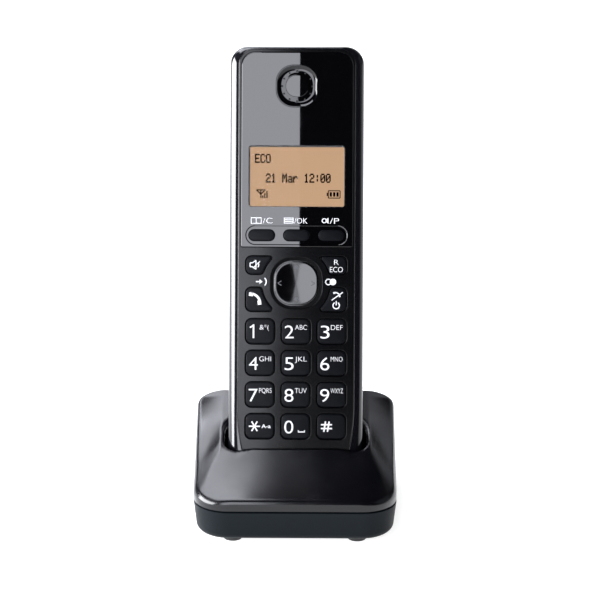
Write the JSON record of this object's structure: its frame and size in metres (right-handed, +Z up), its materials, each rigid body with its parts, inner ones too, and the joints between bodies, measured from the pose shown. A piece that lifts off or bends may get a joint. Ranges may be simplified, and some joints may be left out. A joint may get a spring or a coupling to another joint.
{
  "type": "cordless phone with charging cradle",
  "caption": "Slim cordless telephone handset with display and number keys, leaning back in a low square desktop charging cradle.",
  "frame": {"origin": "middle of the bounding box, on the table under the feet", "axes": "+X to the right as the keys are seen, +Y to the back, +Z up; the keys and the display face -Y and lean back 20.5 degrees"},
  "size_m": [0.072, 0.0926, 0.1611],
  "materials": {
    "charger_upper_plastic": "satin-gloss black, lightly metallic",
    "charger_lower_plastic": "fine matt texture",
    "front_satin": "satin",
    "rear_gloss": "polished",
    "panel_gloss": "mirror polish",
    "window_clear": "clear, polished",
    "earpiece_gloss": "polished",
    "nav_gloss": "polished",
    "key_plastic": "satin",
    "lcd_glass": "warm backlit display",
    "mat_rubber": "matt",
    "foot_rubber": "matt",
    "circuit_board": "solder mask",
    "contact_gold": "plated",
    "nickel": "plated",
    "screw_steel": "zinc plated",
    "cell_jacket": "printed film",
    "black_moulding": "moulded",
    "white_moulding": "moulded"
  },
  "bodies": {
    "charger": {"charger_bottom_cover": "charger_lower_plastic", "charger_top_cover": "charger_upper_plastic", "charger_pcb": "circuit_board", "charger_contact_left": "contact_gold", "charger_contact_right": "contact_gold", "dc_jack": "black_moulding", "dc_jack_pin": "nickel", "foot_front_left": "foot_rubber", "foot_front_right": "foot_rubber", "foot_rear_left": "foot_rubber", "foot_rear_right": "foot_rubber", "charger_screw_left": "screw_steel", "charger_screw_right": "screw_steel"},
    "handset": {"handset_rear_cover": "rear_gloss", "handset_front_cover": "front_satin", "display_panel": "panel_gloss", "display_window": "window_clear", "earpiece_grille": "earpiece_gloss", "lcd_module": "lcd_glass", "lcd_holder": "white_moulding", "main_pcb": "circuit_board", "rf_shield": "nickel", "keypad_mat": "mat_rubber", "receiver_speaker": "nickel", "loudspeaker": "black_moulding", "microphone": "nickel", "antenna": "contact_gold", "battery_left": "cell_jacket", "battery_right": "cell_jacket", "battery_bridge": "nickel", "battery_terminal_left": "nickel", "battery_terminal_right": "nickel", "handset_contact_left": "contact_gold", "handset_contact_right": "contact_gold", "handset_screw_left": "screw_steel", "handset_screw_right": "screw_steel"},
    "battery_cover": {"battery_cover": "rear_gloss"},
    "key_1": {"key_1": "key_plastic"},
    "key_2": {"key_2": "key_plastic"},
    "key_3": {"key_3": "key_plastic"},
    "key_4": {"key_4": "key_plastic"},
    "key_5": {"key_5": "key_plastic"},
    "key_6": {"key_6": "key_plastic"},
    "key_7": {"key_7": "key_plastic"},
    "key_8": {"key_8": "key_plastic"},
    "key_9": {"key_9": "key_plastic"},
    "key_star": {"key_star": "key_plastic"},
    "key_0": {"key_0": "key_plastic"},
    "key_hash": {"key_hash": "key_plastic"},
    "softkey_left": {"softkey_left": "key_plastic"},
    "softkey_middle": {"softkey_middle": "key_plastic"},
    "softkey_right": {"softkey_right": "key_plastic"},
    "key_speaker": {"key_speaker": "key_plastic"},
    "key_talk": {"key_talk": "key_plastic"},
    "key_recall": {"key_recall": "key_plastic"},
    "key_off": {"key_off": "key_plastic"},
    "nav_actuator": {"nav_actuator": "white_moulding"},
    "navigator_key": {"navigator_key": "nav_gloss"}
  },
  "joints": [
    {"name": "handset_lift", "type": "slide", "parent": "charger", "child": "handset", "axis": [0, 0.3502, 0.9367], "range_m": [0, 0.07]},
    {"name": "battery_cover_release", "type": "slide", "parent": "handset", "child": "battery_cover", "axis": [0, 0.9367, -0.3502], "range_m": [0, 0.012]},
    {"name": "key_1_press", "type": "slide", "parent": "handset", "child": "key_1", "axis": [0, 0.9367, -0.3502], "range_m": [0, 0.0005], "stiffness_N_per_m": 600, "springref_m": -0.0003},
    {"name": "key_2_press", "type": "slide", "parent": "handset", "child": "key_2", "axis": [0, 0.9367, -0.3502], "range_m": [0, 0.0005], "stiffness_N_per_m": 600, "springref_m": -0.0003},
    {"name": "key_3_press", "type": "slide", "parent": "handset", "child": "key_3", "axis": [0, 0.9367, -0.3502], "range_m": [0, 0.0005], "stiffness_N_per_m": 600, "springref_m": -0.0003},
    {"name": "key_4_press", "type": "slide", "parent": "handset", "child": "key_4", "axis": [0, 0.9367, -0.3502], "range_m": [0, 0.0005], "stiffness_N_per_m": 600, "springref_m": -0.0003},
    {"name": "key_5_press", "type": "slide", "parent": "handset", "child": "key_5", "axis": [0, 0.9367, -0.3502], "range_m": [0, 0.0005], "stiffness_N_per_m": 600, "springref_m": -0.0003},
    {"name": "key_6_press", "type": "slide", "parent": "handset", "child": "key_6", "axis": [0, 0.9367, -0.3502], "range_m": [0, 0.0005], "stiffness_N_per_m": 600, "springref_m": -0.0003},
    {"name": "key_7_press", "type": "slide", "parent": "handset", "child": "key_7", "axis": [0, 0.9367, -0.3502], "range_m": [0, 0.0005], "stiffness_N_per_m": 600, "springref_m": -0.0003},
    {"name": "key_8_press", "type": "slide", "parent": "handset", "child": "key_8", "axis": [0, 0.9367, -0.3502], "range_m": [0, 0.0005], "stiffness_N_per_m": 600, "springref_m": -0.0003},
    {"name": "key_9_press", "type": "slide", "parent": "handset", "child": "key_9", "axis": [0, 0.9367, -0.3502], "range_m": [0, 0.0005], "stiffness_N_per_m": 600, "springref_m": -0.0003},
    {"name": "key_star_press", "type": "slide", "parent": "handset", "child": "key_star", "axis": [0, 0.9367, -0.3502], "range_m": [0, 0.0005], "stiffness_N_per_m": 600, "springref_m": -0.0003},
    {"name": "key_0_press", "type": "slide", "parent": "handset", "child": "key_0", "axis": [0, 0.9367, -0.3502], "range_m": [0, 0.0005], "stiffness_N_per_m": 600, "springref_m": -0.0003},
    {"name": "key_hash_press", "type": "slide", "parent": "handset", "child": "key_hash", "axis": [0, 0.9367, -0.3502], "range_m": [0, 0.0005], "stiffness_N_per_m": 600, "springref_m": -0.0003},
    {"name": "softkey_left_press", "type": "slide", "parent": "handset", "child": "softkey_left", "axis": [0, 0.9367, -0.3502], "range_m": [0, 0.0005], "stiffness_N_per_m": 600, "springref_m": -0.0003},
    {"name": "softkey_middle_press", "type": "slide", "parent": "handset", "child": "softkey_middle", "axis": [0, 0.9367, -0.3502], "range_m": [0, 0.0005], "stiffness_N_per_m": 600, "springref_m": -0.0003},
    {"name": "softkey_right_press", "type": "slide", "parent": "handset", "child": "softkey_right", "axis": [0, 0.9367, -0.3502], "range_m": [0, 0.0005], "stiffness_N_per_m": 600, "springref_m": -0.0003},
    {"name": "key_speaker_press", "type": "slide", "parent": "handset", "child": "key_speaker", "axis": [0, 0.9367, -0.3502], "range_m": [0, 0.0005], "stiffness_N_per_m": 600, "springref_m": -0.0003},
    {"name": "key_talk_press", "type": "slide", "parent": "handset", "child": "key_talk", "axis": [0, 0.9367, -0.3502], "range_m": [0, 0.0005], "stiffness_N_per_m": 600, "springref_m": -0.0003},
    {"name": "key_recall_press", "type": "slide", "parent": "handset", "child": "key_recall", "axis": [0, 0.9367, -0.3502], "range_m": [0, 0.0005], "stiffness_N_per_m": 600, "springref_m": -0.0003},
    {"name": "key_off_press", "type": "slide", "parent": "handset", "child": "key_off", "axis": [0, 0.9367, -0.3502], "range_m": [0, 0.0005], "stiffness_N_per_m": 600, "springref_m": -0.0003},
    {"name": "navigator_up_down", "type": "hinge", "parent": "handset", "child": "nav_actuator", "pos_m": [0, 0.00296, 0.08077], "axis": [1, 0, 0], "range_deg": [-2, 2], "stiffness_Nm_per_rad": 0.1},
    {"name": "navigator_left_right", "type": "hinge", "parent": "nav_actuator", "child": "navigator_key", "pos_m": [0, 0.00296, 0.08077], "axis": [0, 0.3502, 0.9367], "range_deg": [-2, 2], "stiffness_Nm_per_rad": 0.1}
  ]
}
